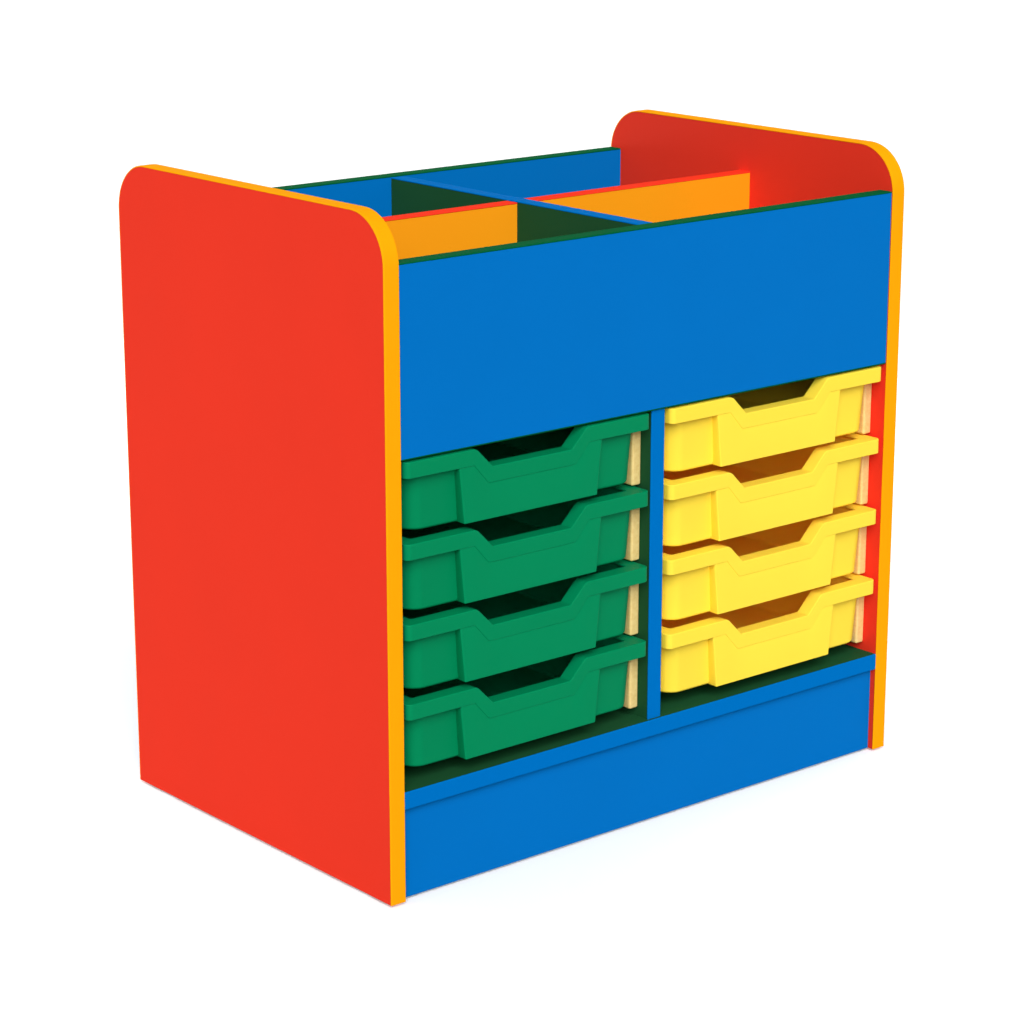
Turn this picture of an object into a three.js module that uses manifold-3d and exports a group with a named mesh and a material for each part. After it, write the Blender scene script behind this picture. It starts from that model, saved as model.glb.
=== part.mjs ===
// Classroom storage unit: an open browser box above two bays of pull-out trays.
// Millimetres, +Z up. The front faces -Y and the floor is Z = 0.
import * as THREE from 'three';
import { mergeVertices } from 'three/addons/utils/BufferGeometryUtils.js';
import Module from 'manifold-3d';

const wasm = await Module();
wasm.setup();

// Cabinet: driving dimensions
const WIDTH = 700;
const DEPTH = 450;
const HEIGHT = 680;
const BOARD = 18;
const LIPPING = 1.5;
const LIPPING_EASED_EDGE = 1;
const SIDE_CORNER_RADIUS = 50;
const BROWSER_TOP = 633;
const BROWSER_BOTTOM = 445.5;
const LONG_DIVIDER_DROP = 1.5;
const CROSS_DIVIDER_DROP = 3;
const BASE_SHELF_TOP = 115.5;
const FRONT_PANEL_SETBACK = 2;
const BASE_SHELF_SETBACK = 1;
const BAY_DIVIDER_SETBACK = 5;
const PLINTH_SETBACK = 8;

// Glides under the side panels
const GLIDE_HEIGHT = 3;
const GLIDE_LENGTH = 30;
const GLIDE_WIDTH = 14;
const GLIDE_INSET = 52;

// Trays: driving dimensions
const TRAY_ROWS = 4;
const TRAY_PITCH = 80;
const TRAY_TOP_CLEARANCE = 2;
const TRAY_WIDTH = 312;
const TRAY_DEPTH = 427;
const TRAY_HEIGHT = 72;
const TRAY_WALL = 2.5;
const TRAY_DRAFT = THREE.MathUtils.degToRad(3.2);
const TRAY_CORNER_RADIUS = 16;
const TRAY_BASE_FILLET = 3;
const RIM_HEIGHT = 16;
const RIM_OVERHANG = 8.5;
const RIM_LEDGE = 16.5;
const RIM_CORNER_RADIUS = 6;
const RIM_FILLET = 1;
const OPENING_CORNER_RADIUS = 3;

// Hand dip and apron in the middle of each tray front
const DIP_DEPTH = 20;
const DIP_FLOOR_WIDTH = 101;
const DIP_SLOPE_RUN = 20;
const DIP_CORNER_RADIUS = 9;
const BAND_FLOOR_WIDTH = 111;
const BAND_SLOPE_RUN = 18;
const BAND_CORNER = 5;
const APRON_TOP_WIDTH = 182;
const APRON_BOTTOM_WIDTH = 170;
const APRON_SETBACK = 0.8;

// Runners that carry the tray rims
const RUNNER_THICKNESS = 12;
const RUNNER_SETBACK = 20;
const RUNNER_END_GAP = 7;
const RUNNER_EASED_EDGE = 1.5;
const RIM_PLAY_BELOW = 0.4;
const RIM_PLAY_ABOVE = 1.6;

// Sizes that follow from the driving dimensions
const CORNER_STEPS = 3;
const CUT = 5;
const FRONT = -DEPTH / 2;
const REAR = DEPTH / 2;
const INNER_WIDTH = WIDTH - 2 * BOARD;
const BAY_WIDTH = (INNER_WIDTH - BOARD) / 2;
const BAY_CENTRE = (BOARD + BAY_WIDTH) / 2;
const BACK_FACE = REAR - BOARD;
const BROWSER_FRONT_FACE = FRONT + FRONT_PANEL_SETBACK + BOARD;
const BROWSER_FLOOR_TOP = BROWSER_BOTTOM + BOARD;
const RIGHT = new THREE.Vector3(1, 0, 0);
const BACKWARD = new THREE.Vector3(0, 1, 0);
const UP = new THREE.Vector3(0, 0, 1);
const FORWARD = BACKWARD.clone().negate();
const DOWN = UP.clone().negate();

const finish = (color, roughness) => new THREE.MeshStandardMaterial({ color, roughness, metalness: 0 });
const redBoard = finish('#ee3a27', 0.5);
const blueBoard = finish('#0075c8', 0.5);
const greenBoard = finish('#1f5230', 0.5);
const orangeBoard = finish('#ff9719', 0.5);
const orangeLipping = finish('#ffab13', 0.45);
const blueLipping = finish('#0075c8', 0.45);
const greenLipping = finish('#0a6038', 0.45);
const redLipping = finish('#ff3c23', 0.45);
const greenTray = finish('#008c59', 0.4);
const yellowTray = finish('#ffea4c', 0.4);
const mapleRunner = finish('#e6c57c', 0.6);
const greyGlide = finish('#c9ccce', 0.5);

const unit = new THREE.Group();

function place(name, geometry, material, x = 0, y = 0, z = 0) {
  const mesh = new THREE.Mesh(geometry, material);
  mesh.name = name;
  mesh.position.set(x, y, z);
  unit.add(mesh);
}

// A square-edged board between two corners
function board(name, material, [x0, x1], [y0, y1], [z0, z1]) {
  const geometry = new THREE.BoxGeometry(x1 - x0, y1 - y0, z1 - z0);
  place(name, geometry, material, (x0 + x1) / 2, (y0 + y1) / 2, (z0 + z1) / 2);
}

// An edge strip between two corners, which runs along one axis and faces another, with its outer edges eased
function strip(name, material, [x0, x1], [y0, y1], [z0, z1], along, outward) {
  const size = new THREE.Vector3(x1 - x0, y1 - y0, z1 - z0);
  const across = outward.clone().cross(along);
  const length = size.dot(along);
  const half = Math.abs(size.dot(across)) / 2;
  const [face, shoulder, ease] = [LIPPING / 2, LIPPING / 2 - LIPPING_EASED_EDGE, LIPPING_EASED_EDGE];
  const section = polygon([
    [-half, -face], [half, -face], [half, shoulder],
    [half - ease, face], [ease - half, face], [-half, shoulder],
  ]);
  const geometry = new THREE.ExtrudeGeometry(section, { depth: length, bevelEnabled: false });
  geometry.translate(0, 0, -length / 2);
  geometry.applyMatrix4(new THREE.Matrix4().makeBasis(across, outward, along));
  place(name, geometry, material, (x0 + x1) / 2, (y0 + y1) / 2, (z0 + z1) / 2);
}

// A shape drawn in (Y, Z), carried along +X, with the edges of its two faces eased
function extrudeAlongX(shape, length, ease = 0) {
  const options = {
    depth: length - 2 * ease,
    curveSegments: 8,
    bevelEnabled: ease > 0,
    bevelThickness: ease,
    bevelSize: ease,
    bevelOffset: -ease,
    bevelSegments: 1,
  };
  const geometry = new THREE.ExtrudeGeometry(shape, options).translate(0, 0, ease);
  return geometry.applyMatrix4(new THREE.Matrix4().makeBasis(BACKWARD, UP, RIGHT));
}

// A shape drawn in (X, Z), carried from Y = start to Y = end
function extrudeAlongY(shape, start, end) {
  const options = { depth: end - start, bevelEnabled: false, curveSegments: 4 };
  const geometry = new THREE.ExtrudeGeometry(shape, options);
  return geometry.rotateX(Math.PI / 2).translate(0, end, 0);
}

function polygon(points) {
  return new THREE.Shape(points.map(([x, y]) => new THREE.Vector2(x, y)));
}

// A trapezoid that is symmetrical about the Z axis of a tray front
function trapezoid(topWidth, topZ, bottomWidth, bottomZ) {
  const [a, b] = [topWidth / 2, bottomWidth / 2];
  return polygon([[-b, bottomZ], [b, bottomZ], [a, topZ], [-a, topZ]]);
}

// The points of a rectangle with rounded corners, centred on (0, 0)
function roundedRectangle(width, depth, radius) {
  const [x, y] = [width / 2 - radius, depth / 2 - radius];
  const quarter = Math.PI / 2;
  const shape = new THREE.Shape();
  shape.absarc(x, y, radius, 0, quarter);
  shape.absarc(-x, y, radius, quarter, 2 * quarter);
  shape.absarc(-x, -y, radius, 2 * quarter, 3 * quarter);
  shape.absarc(x, -y, radius, 3 * quarter, 4 * quarter);
  return shape.getPoints(CORNER_STEPS);
}

// A closed body through level rings of equal point counts, listed from the bottom up
function loft(rings) {
  const count = rings[0].points.length;
  const positions = rings.flatMap(({ points, z }) => points.flatMap((p) => [p.x, p.y, z]));
  const index = [];
  for (let level = 0; level < rings.length - 1; level += 1) {
    for (let i = 0; i < count; i += 1) {
      const a = level * count + i;
      const b = level * count + ((i + 1) % count);
      index.push(a, b, b + count, a, b + count, a + count);
    }
  }
  const top = (rings.length - 1) * count;
  for (const [a, b, c] of THREE.ShapeUtils.triangulateShape(rings[0].points, [])) {
    index.push(c, b, a, top + a, top + b, top + c);
  }
  const geometry = new THREE.BufferGeometry();
  geometry.setAttribute('position', new THREE.Float32BufferAttribute(positions, 3));
  return geometry.setIndex(index);
}

function solid(geometry) {
  const bare = geometry.clone();
  bare.deleteAttribute('normal');
  bare.deleteAttribute('uv');
  const merged = mergeVertices(bare, 1e-4);
  return new wasm.Manifold(new wasm.Mesh({
    numProp: 3,
    vertProperties: Float32Array.from(merged.getAttribute('position').array),
    triVerts: Uint32Array.from(merged.getIndex().array),
  }));
}

function geometryOf(manifold) {
  const { vertProperties, triVerts } = manifold.getMesh();
  const geometry = new THREE.BufferGeometry();
  geometry.setAttribute('position', new THREE.BufferAttribute(vertProperties, 3));
  geometry.setIndex(new THREE.BufferAttribute(triVerts, 1));
  geometry.computeVertexNormals();
  return geometry;
}

// Side panel outlines in (Y, Z): a board with round top corners and a strip that wraps its edge
function archOutline(inset, bottom = GLIDE_HEIGHT) {
  const radius = SIDE_CORNER_RADIUS - inset;
  const [front, rear, top] = [FRONT + inset, REAR - inset, HEIGHT - inset];
  const path = new THREE.Shape();
  path.moveTo(rear, bottom);
  path.lineTo(rear, top - radius);
  path.absarc(rear - radius, top - radius, radius, 0, Math.PI / 2);
  path.absarc(front + radius, top - radius, radius, Math.PI / 2, Math.PI);
  path.lineTo(front, bottom);
  return path;
}

function sideLippingOutline() {
  const steps = 8;
  const outer = archOutline(0).getPoints(steps);
  const inner = archOutline(LIPPING).getPoints(steps);
  return new THREE.Shape([...outer, ...inner.reverse()]);
}

// The wrapped strip is trimmed to an arch whose edges are eased all round but at the floor
function sideLippingGeometry() {
  const wrap = solid(extrudeAlongX(sideLippingOutline(), BOARD));
  const eased = solid(extrudeAlongX(archOutline(0, GLIDE_HEIGHT - CUT), BOARD, LIPPING_EASED_EDGE));
  return geometryOf(wrap.intersect(eased));
}

function addSides() {
  const boardGeometry = extrudeAlongX(archOutline(LIPPING), BOARD);
  const lippingGeometry = sideLippingGeometry();
  for (const [side, x] of [['left', -WIDTH / 2], ['right', WIDTH / 2 - BOARD]]) {
    place(`${side}_side_panel`, boardGeometry, redBoard, x);
    place(`${side}_side_lipping`, lippingGeometry, orangeLipping, x);
  }
}

function addGlides() {
  const [round, straight] = [GLIDE_WIDTH / 2, GLIDE_LENGTH / 2 - GLIDE_WIDTH / 2];
  const pad = new THREE.Shape();
  pad.absarc(0, straight, round, 0, Math.PI);
  pad.absarc(0, -straight, round, Math.PI, 2 * Math.PI);
  const options = { depth: GLIDE_HEIGHT, bevelEnabled: false, curveSegments: 4 };
  const geometry = new THREE.ExtrudeGeometry(pad, options);
  for (const [side, x] of [['left', -1], ['right', 1]]) {
    for (const [end, y] of [['front', -1], ['rear', 1]]) {
      place(`glide_${side}_${end}`, geometry, greyGlide, x * (WIDTH - BOARD) / 2, y * (REAR - GLIDE_INSET));
    }
  }
}

// Boards that run across the unit between the side panels
function addCrossBoards() {
  const across = [-INNER_WIDTH / 2, INNER_WIDTH / 2];
  const panelDepth = [FRONT + FRONT_PANEL_SETBACK, BROWSER_FRONT_FACE];
  const backDepth = [BACK_FACE, REAR];
  board('front_panel', blueBoard, across, panelDepth, [BROWSER_BOTTOM + LIPPING, BROWSER_TOP - LIPPING]);
  const topEdge = [BROWSER_TOP - LIPPING, BROWSER_TOP];
  const bottomEdge = [BROWSER_BOTTOM, BROWSER_BOTTOM + LIPPING];
  strip('front_panel_top_lipping', greenLipping, across, panelDepth, topEdge, RIGHT, UP);
  strip('front_panel_bottom_lipping', greenLipping, across, panelDepth, bottomEdge, RIGHT, DOWN);
  board('back_panel', blueBoard, across, backDepth, [GLIDE_HEIGHT, BROWSER_TOP - LIPPING]);
  strip('back_panel_lipping', greenLipping, across, backDepth, topEdge, RIGHT, UP);
  const floorDepth = [BROWSER_FRONT_FACE, BACK_FACE];
  board('browser_floor', greenBoard, across, floorDepth, [BROWSER_BOTTOM, BROWSER_FLOOR_TOP]);

  const shelfFront = FRONT + BASE_SHELF_SETBACK;
  const shelfHeight = [BASE_SHELF_TOP - BOARD, BASE_SHELF_TOP];
  board('base_shelf', greenBoard, across, [shelfFront + LIPPING, BACK_FACE], shelfHeight);
  const shelfEdge = [shelfFront, shelfFront + LIPPING];
  strip('base_shelf_lipping', blueLipping, across, shelfEdge, shelfHeight, RIGHT, FORWARD);
  const plinthFront = FRONT + PLINTH_SETBACK;
  const plinthDepth = [plinthFront, plinthFront + BOARD];
  board('plinth', blueBoard, across, plinthDepth, [GLIDE_HEIGHT, BASE_SHELF_TOP - BOARD]);
}

// A divider that stands on the browser floor, with a strip along its top edge
function browserDivider(name, boardMaterial, lippingMaterial, x, y, drop, along) {
  const top = BROWSER_TOP - drop;
  board(name, boardMaterial, x, y, [BROWSER_FLOOR_TOP, top - LIPPING]);
  strip(`${name}_lipping`, lippingMaterial, x, y, [top - LIPPING, top], along, UP);
}

// Upright dividers: one between the bays, a long and two short ones in the browser box
function addDividers() {
  const middle = [-BOARD / 2, BOARD / 2];
  const bayFront = FRONT + BAY_DIVIDER_SETBACK;
  const bayHeight = [BASE_SHELF_TOP, BROWSER_BOTTOM];
  board('bay_divider', greenBoard, middle, [bayFront + LIPPING, BACK_FACE], bayHeight);
  strip('bay_divider_lipping', blueLipping, middle, [bayFront, bayFront + LIPPING], bayHeight, UP, FORWARD);

  const browserDepth = [BROWSER_FRONT_FACE, BACK_FACE];
  browserDivider(
    'browser_long_divider', greenBoard, blueLipping, middle, browserDepth, LONG_DIVIDER_DROP, BACKWARD);
  const halves = { left: [-INNER_WIDTH / 2, -BOARD / 2], right: [BOARD / 2, INNER_WIDTH / 2] };
  for (const [side, span] of Object.entries(halves)) {
    const name = `browser_cross_divider_${side}`;
    browserDivider(name, orangeBoard, redLipping, span, middle, CROSS_DIVIDER_DROP, RIGHT);
  }
}

// Tray coordinates: X = 0 on its centre line, Y = 0 at the middle of its depth, Z = 0 under its base
const TRAY_FRONT = -TRAY_DEPTH / 2;

// The drafted tub, grown or shrunk evenly, at one height
function tubRing(z, inset) {
  const drop = (TRAY_HEIGHT - z) * Math.tan(TRAY_DRAFT);
  const shrink = 2 * (RIM_OVERHANG + drop + inset);
  const radius = Math.max(TRAY_CORNER_RADIUS - inset, 1);
  return { points: roundedRectangle(TRAY_WIDTH - shrink, TRAY_DEPTH - shrink, radius), z };
}

// Rings of a rounded base edge, from flat to upright
function baseFillet(floor, inset, fillet) {
  return [0, 0.5, 1].map((t) => {
    const turn = t * Math.PI / 2;
    return tubRing(floor + fillet * (1 - Math.cos(turn)), inset + fillet * (1 - Math.sin(turn)));
  });
}

function rimRing(z, inset, radius = RIM_CORNER_RADIUS - inset) {
  return { points: roundedRectangle(TRAY_WIDTH - 2 * inset, TRAY_DEPTH - 2 * inset, radius), z };
}

// The outside of the tub and of the rim, with the rim's top edge rounded
function trayOutside() {
  const tub = loft([...baseFillet(0, 0, TRAY_BASE_FILLET), tubRing(TRAY_HEIGHT - TRAY_WALL / 2, 0)]);
  const eased = RIM_FILLET * (1 - Math.SQRT1_2);
  const rim = loft([
    rimRing(TRAY_HEIGHT - RIM_HEIGHT, 0),
    rimRing(TRAY_HEIGHT - RIM_FILLET, 0),
    rimRing(TRAY_HEIGHT - eased, eased),
    rimRing(TRAY_HEIGHT, RIM_FILLET),
  ]);
  return { tub: solid(tub), rim: solid(rim) };
}

// The space that the tray holds: the tub up to the underside of the rim, and the opening through the rim
function trayInside(dipSkin) {
  const underside = TRAY_HEIGHT - TRAY_WALL;
  const belowRim = solid(loft([
    ...baseFillet(TRAY_WALL, TRAY_WALL, TRAY_BASE_FILLET - TRAY_WALL),
    tubRing(underside, TRAY_WALL),
  ]));
  const opening = solid(loft([
    rimRing(underside - DIP_DEPTH - CUT, RIM_LEDGE, OPENING_CORNER_RADIUS),
    rimRing(TRAY_HEIGHT + CUT, RIM_LEDGE, OPENING_CORNER_RADIUS),
  ]));
  return belowRim.subtract(dipSkin).add(opening);
}

// The hand dip's outline in (X, Z), lowered and widened evenly by skin, with its upper corners rounded
function dipOutline(skin) {
  const slope = Math.atan2(DIP_DEPTH, DIP_SLOPE_RUN);
  const spread = skin * Math.tan(slope / 2);
  const floor = TRAY_HEIGHT - DIP_DEPTH - skin;
  const lip = TRAY_HEIGHT - skin;
  const corner = (DIP_CORNER_RADIUS - skin) * Math.tan(slope / 2);
  const bottom = DIP_FLOOR_WIDTH / 2 + spread;
  const top = bottom + (lip - floor) / Math.tan(slope);
  const shape = new THREE.Shape();
  shape.moveTo(-top - corner, lip + CUT);
  shape.lineTo(-top - corner, lip);
  shape.quadraticCurveTo(-top, lip, -top + corner * Math.cos(slope), lip - corner * Math.sin(slope));
  shape.lineTo(-bottom, floor);
  shape.lineTo(bottom, floor);
  shape.lineTo(top - corner * Math.cos(slope), lip - corner * Math.sin(slope));
  shape.quadraticCurveTo(top, lip, top + corner, lip);
  shape.lineTo(top + corner, lip + CUT);
  return shape;
}

// The rim's lower edge in (X, Z) where it follows the dip, with its bottom corners rounded
function bandOutline() {
  const top = TRAY_HEIGHT - RIM_HEIGHT + CUT;
  const bottom = TRAY_HEIGHT - RIM_HEIGHT - DIP_DEPTH;
  const bend = bottom + BAND_CORNER;
  const corner = BAND_FLOOR_WIDTH / 2;
  const edge = (z) => corner + (z - bottom) * BAND_SLOPE_RUN / DIP_DEPTH;
  const shape = new THREE.Shape();
  shape.moveTo(-edge(top), top);
  shape.lineTo(-edge(bend), bend);
  shape.quadraticCurveTo(-corner, bottom, BAND_CORNER - corner, bottom);
  shape.lineTo(corner - BAND_CORNER, bottom);
  shape.quadraticCurveTo(corner, bottom, edge(bend), bend);
  shape.lineTo(edge(top), top);
  return shape;
}

// The moulded tray: a drafted tub hung from a hollow rim, which dips at the front and drops an apron
function trayGeometry() {
  const { tub, rim } = trayOutside();
  const rimBottom = TRAY_HEIGHT - RIM_HEIGHT;
  const wallFront = TRAY_FRONT + RIM_OVERHANG;
  const baseFront = wallFront + TRAY_HEIGHT * Math.tan(TRAY_DRAFT) + TRAY_BASE_FILLET;
  const dipRear = TRAY_FRONT + RIM_LEDGE + CUT;

  const band = solid(extrudeAlongY(bandOutline(), TRAY_FRONT, wallFront + TRAY_WALL));
  const apronFront = TRAY_FRONT + APRON_SETBACK;
  const apron = solid(extrudeAlongY(
    trapezoid(APRON_TOP_WIDTH, rimBottom + CUT, APRON_BOTTOM_WIDTH, 0), apronFront, baseFront + TRAY_WALL));
  const skin = tub.add(rim).add(band).add(apron);

  const rimHollow = solid(loft([
    rimRing(rimBottom - CUT, TRAY_WALL),
    rimRing(TRAY_HEIGHT - TRAY_WALL, TRAY_WALL),
  ]));
  const apronHollow = solid(extrudeAlongY(
    trapezoid(APRON_TOP_WIDTH - 2 * TRAY_WALL, rimBottom + CUT, APRON_BOTTOM_WIDTH - 2 * TRAY_WALL, -CUT),
    apronFront + TRAY_WALL, baseFront + CUT));
  const dipSkin = solid(extrudeAlongY(dipOutline(TRAY_WALL), TRAY_FRONT - CUT, dipRear));
  const hollow = rimHollow.add(apronHollow).subtract(tub).subtract(dipSkin);

  const dip = solid(extrudeAlongY(dipOutline(0), TRAY_FRONT - CUT, dipRear));
  return geometryOf(skin.subtract(hollow).subtract(trayInside(dipSkin)).subtract(dip));
}

const rimTopOfRow = (row) => BROWSER_BOTTOM - TRAY_TOP_CLEARANCE - row * TRAY_PITCH;

function addTrays() {
  const geometry = trayGeometry();
  const bays = [['left', -BAY_CENTRE, greenTray], ['right', BAY_CENTRE, yellowTray]];
  for (const [bay, x, material] of bays) {
    for (let row = 0; row < TRAY_ROWS; row += 1) {
      const base = rimTopOfRow(row) - TRAY_HEIGHT;
      place(`tray_${bay}_${row + 1}`, geometry, material, x, FRONT + TRAY_DEPTH / 2, base);
    }
  }
}

// A batten with eased long edges, drawn in (X, Z)
function runnerOutline(height) {
  const [x, z, e] = [RUNNER_THICKNESS / 2, height / 2, RUNNER_EASED_EDGE];
  return polygon([
    [x - e, -z], [x, e - z], [x, z - e], [x - e, z],
    [e - x, z], [-x, z - e], [-x, e - z], [e - x, -z],
  ]);
}

// Each tray rim rides on one pair of runners and under the pair above it
function addRunners() {
  const height = TRAY_PITCH - RIM_HEIGHT - RIM_PLAY_BELOW - RIM_PLAY_ABOVE;
  const geometry = extrudeAlongY(runnerOutline(height), FRONT + RUNNER_SETBACK, BACK_FACE - RUNNER_END_GAP);
  const reach = (BAY_WIDTH - RUNNER_THICKNESS) / 2;
  for (const [bay, centre] of [['left', -BAY_CENTRE], ['right', BAY_CENTRE]]) {
    for (let row = 0; row < TRAY_ROWS; row += 1) {
      const z = rimTopOfRow(row) - RIM_HEIGHT - RIM_PLAY_BELOW - height / 2;
      place(`runner_${bay}_bay_${row + 1}_left`, geometry, mapleRunner, centre - reach, 0, z);
      place(`runner_${bay}_bay_${row + 1}_right`, geometry, mapleRunner, centre + reach, 0, z);
    }
  }
}

addSides();
addGlides();
addCrossBoards();
addDividers();
addRunners();
addTrays();

export default unit;
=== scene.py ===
"""Classroom tray storage unit: the finished look of its boards, strips, runners, glides and trays.

Lengths are metres in the frame of the packed model: +Z is up, the front faces -Y and the floor is Z = 0.
"""
from itertools import product

import bpy
import numpy as np
from bpy.props import FloatProperty, FloatVectorProperty, PointerProperty
from mathutils import Euler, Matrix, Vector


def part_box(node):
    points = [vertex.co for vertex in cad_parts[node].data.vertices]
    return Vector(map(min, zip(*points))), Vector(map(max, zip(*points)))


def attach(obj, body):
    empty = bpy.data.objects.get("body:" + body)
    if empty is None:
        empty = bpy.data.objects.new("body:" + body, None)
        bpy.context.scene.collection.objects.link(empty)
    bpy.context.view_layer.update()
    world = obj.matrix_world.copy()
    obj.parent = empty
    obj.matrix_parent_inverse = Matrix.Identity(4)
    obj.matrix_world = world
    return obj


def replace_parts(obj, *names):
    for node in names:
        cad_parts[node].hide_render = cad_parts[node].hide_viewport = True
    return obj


bl_info = {
    "name": "Classroom tray storage unit",
    "version": (1, 0, 0),
    "blender": (4, 5, 0),
    "location": "3D View > Sidebar > Tray unit",
    "description": "Builds a coloured classroom cabinet with moulded pull-out trays",
    "category": "Object",
}

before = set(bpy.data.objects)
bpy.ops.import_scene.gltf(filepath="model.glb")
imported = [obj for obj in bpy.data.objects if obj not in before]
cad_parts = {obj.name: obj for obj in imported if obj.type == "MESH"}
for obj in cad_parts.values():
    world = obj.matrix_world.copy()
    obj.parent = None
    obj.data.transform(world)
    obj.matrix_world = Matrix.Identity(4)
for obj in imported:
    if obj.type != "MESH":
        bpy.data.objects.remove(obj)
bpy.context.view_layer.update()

MM = 0.001
SIDES = ("left", "right")
TRAY_ROWS = (1, 2, 3, 4)
CARCASS = "carcass"
X, Y, Z = np.eye(3)

# Steps round a quarter turn: of small edges, of a side panel's arch and of corners that show in plan
EDGE_STEPS = 4
CURVE_STEPS = 16
CORNER_STEPS = 10

# Plan corner of a block that is given none, in roundings of its edge
BLOCK_CORNER = 1.25

# Straight part that stays at each side of a pad's round ends
PAD_FLAT = 0.05 * MM

# Small roundings of the tray's lips and of the apron's foot, in wall thicknesses
LIP_EASE = 0.25
FOOT_EASE = 0.2

# Points across the tray front: their spacing, and how far they go past the foot and the top of a slope
COLUMN_GAP = 1 * MM
COLUMNS_PAST_FOOT = 5 * MM
COLUMNS_PAST_TOP = 7 * MM

# Screws: how many hold a runner, steps round a head, arms of the cross recess and how far it narrows
SCREWS_IN_RUNNER = 3
SCREW_STEPS = 32
CROSS_ARMS = 4
CROSS_WAIST = 0.35

# Share of the larger faces in the normals at a shared corner, at its highest
LARGE_FACE_WEIGHT = 100

# Sockets of a colour Mix node: the factor, the two colours and the result
MIX_FACTOR, MIX_FIRST, MIX_SECOND = 0, 6, 7
MIX_RESULT = 2

# Stage: half the floor's width in metres, the camera's sensor in millimetres and the light's bounces
FLOOR_REACH = 30.0
SENSOR_WIDTH = 36.0
LIGHT_BOUNCES = 32
WHITE = (1, 1, 1, 1)

# Boards that stand or lie between the side panels, and the record's finish of each
BOARDS = {
    "front_panel": "blue_board",
    "back_panel": "blue_board",
    "plinth": "blue_board",
    "browser_floor": "green_board",
    "base_shelf": "green_board",
    "bay_divider": "green_board",
    "browser_long_divider": "green_board",
    "browser_cross_divider_left": "orange_board",
    "browser_cross_divider_right": "orange_board",
}

# Straight edge strips: the finish, the way the strip runs and the way it faces
STRIPS = {
    "front_panel_top_lipping": ("green_lipping", X, Z),
    "front_panel_bottom_lipping": ("green_lipping", X, -Z),
    "back_panel_lipping": ("green_lipping", X, Z),
    "base_shelf_lipping": ("blue_lipping", X, -Y),
    "bay_divider_lipping": ("blue_lipping", Z, -Y),
    "browser_long_divider_lipping": ("blue_lipping", Y, Z),
    "browser_cross_divider_left_lipping": ("red_lipping", X, Z),
    "browser_cross_divider_right_lipping": ("red_lipping", X, Z),
}


def linear(code):
    """Scene-linear RGBA of an sRGB hex colour: the sRGB curve undone on each channel."""
    srgb = np.array([int(code[i:i + 2], 16) for i in (1, 3, 5)]) / 255
    rgb = np.where(srgb <= 0.04045, srgb / 12.92, ((srgb + 0.055) / 1.055) ** 2.4)
    return (*rgb.tolist(), 1.0)


def length(name, description, millimetres):
    """A length that a user may change, given in millimetres."""
    return FloatProperty(
        name=name, description=description, default=millimetres * MM, min=0.0, unit="LENGTH", precision=4)


def colour(name, description, code):
    """A colour that a user may change, given as sRGB hex."""
    return FloatVectorProperty(
        name=name, description=description, default=linear(code), size=4, subtype="COLOR",
        min=0.0, max=1.0)


def degrees(name, description, value):
    """An angle that a user may change, given in degrees."""
    return FloatProperty(name=name, description=description, default=np.radians(value), subtype="ANGLE")


def strength(name, description, value):
    """A strength of light that a user may change."""
    return FloatProperty(name=name, description=description, default=value, min=0.0)


def watts(name, description, value):
    """The power of a lamp that a user may change."""
    return FloatProperty(name=name, description=description, default=value, min=0.0, unit="POWER")


class CabinetSizes(bpy.types.PropertyGroup):
    """Roundings of the cabinet's pieces."""

    panel_corner: length("Panel corner", "Radius of the two top corners of a side panel", 50)
    board_edge: length("Board edge", "Rounding of a board where it meets its edge strip", 0.2)
    strip_edge: length("Strip edge", "Rounding of the long outer edges of an edge strip", 1.0)
    runner_edge: length("Runner edge", "Rounding of the edges of a timber runner", 2.0)
    glide_edge: length("Glide edge", "Rounding of the rim of a glide pad", 0.7)
    screw_head: length("Screw head", "Diameter of the countersunk screws of a runner", 8.0)
    screw_inset: length("Screw inset", "Place of the outer screws from the ends of a runner", 45.0)


class TraySizes(bpy.types.PropertyGroup):
    """Sizes of the moulded tray inside its overall box."""

    wall: length("Wall", "Thickness of every wall", 2.5)
    draft: degrees("Draft", "Lean of the tub walls", 3.2)
    tub_corner: length("Tub corner", "Radius of the tub's upright corners", 16)
    base_edge: length("Base edge", "Rounding between the tub's walls and its base", 3)
    rim_height: length("Rim height", "Height of the rim's skirt", 16)
    rim_overhang: length("Rim overhang", "Reach of the rim beyond the tub wall", 8.5)
    rim_ledge: length("Rim ledge", "Width of the rim's flat top", 16.5)
    rim_corner: length("Rim corner", "Radius of the rim's corners in plan", 6)
    rim_edge: length("Rim edge", "Rounding of the rim's outer top edge", 1.0)
    opening_corner: length("Opening corner", "Radius of the corners of the opening", 3)
    dip_depth: length("Dip depth", "How far the rim dips for the hand", 20)
    dip_floor: length("Dip floor", "Width of the level floor of the dip", 101)
    dip_run: length("Dip run", "Width of each slope of the dip", 20)
    dip_corner: length("Dip corner", "Radius at the top of each slope", 9)
    band_floor: length("Band floor", "Width of the level lower edge of the rim at the dip", 111)
    band_run: length("Band run", "Width of each slope of the rim's lower edge", 18)
    band_corner: length("Band corner", "Radius at the foot of each slope of the rim's lower edge", 6)
    apron_top: length("Apron top", "Width of the apron under the rim", 182)
    apron_bottom: length("Apron bottom", "Width of the apron at its foot", 170)
    apron_setback: length("Apron setback", "Step from the rim's face back to the apron", 0.8)
    apron_corner: length("Apron corner", "Radius of the apron's upright front corners", 1.5)


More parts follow.
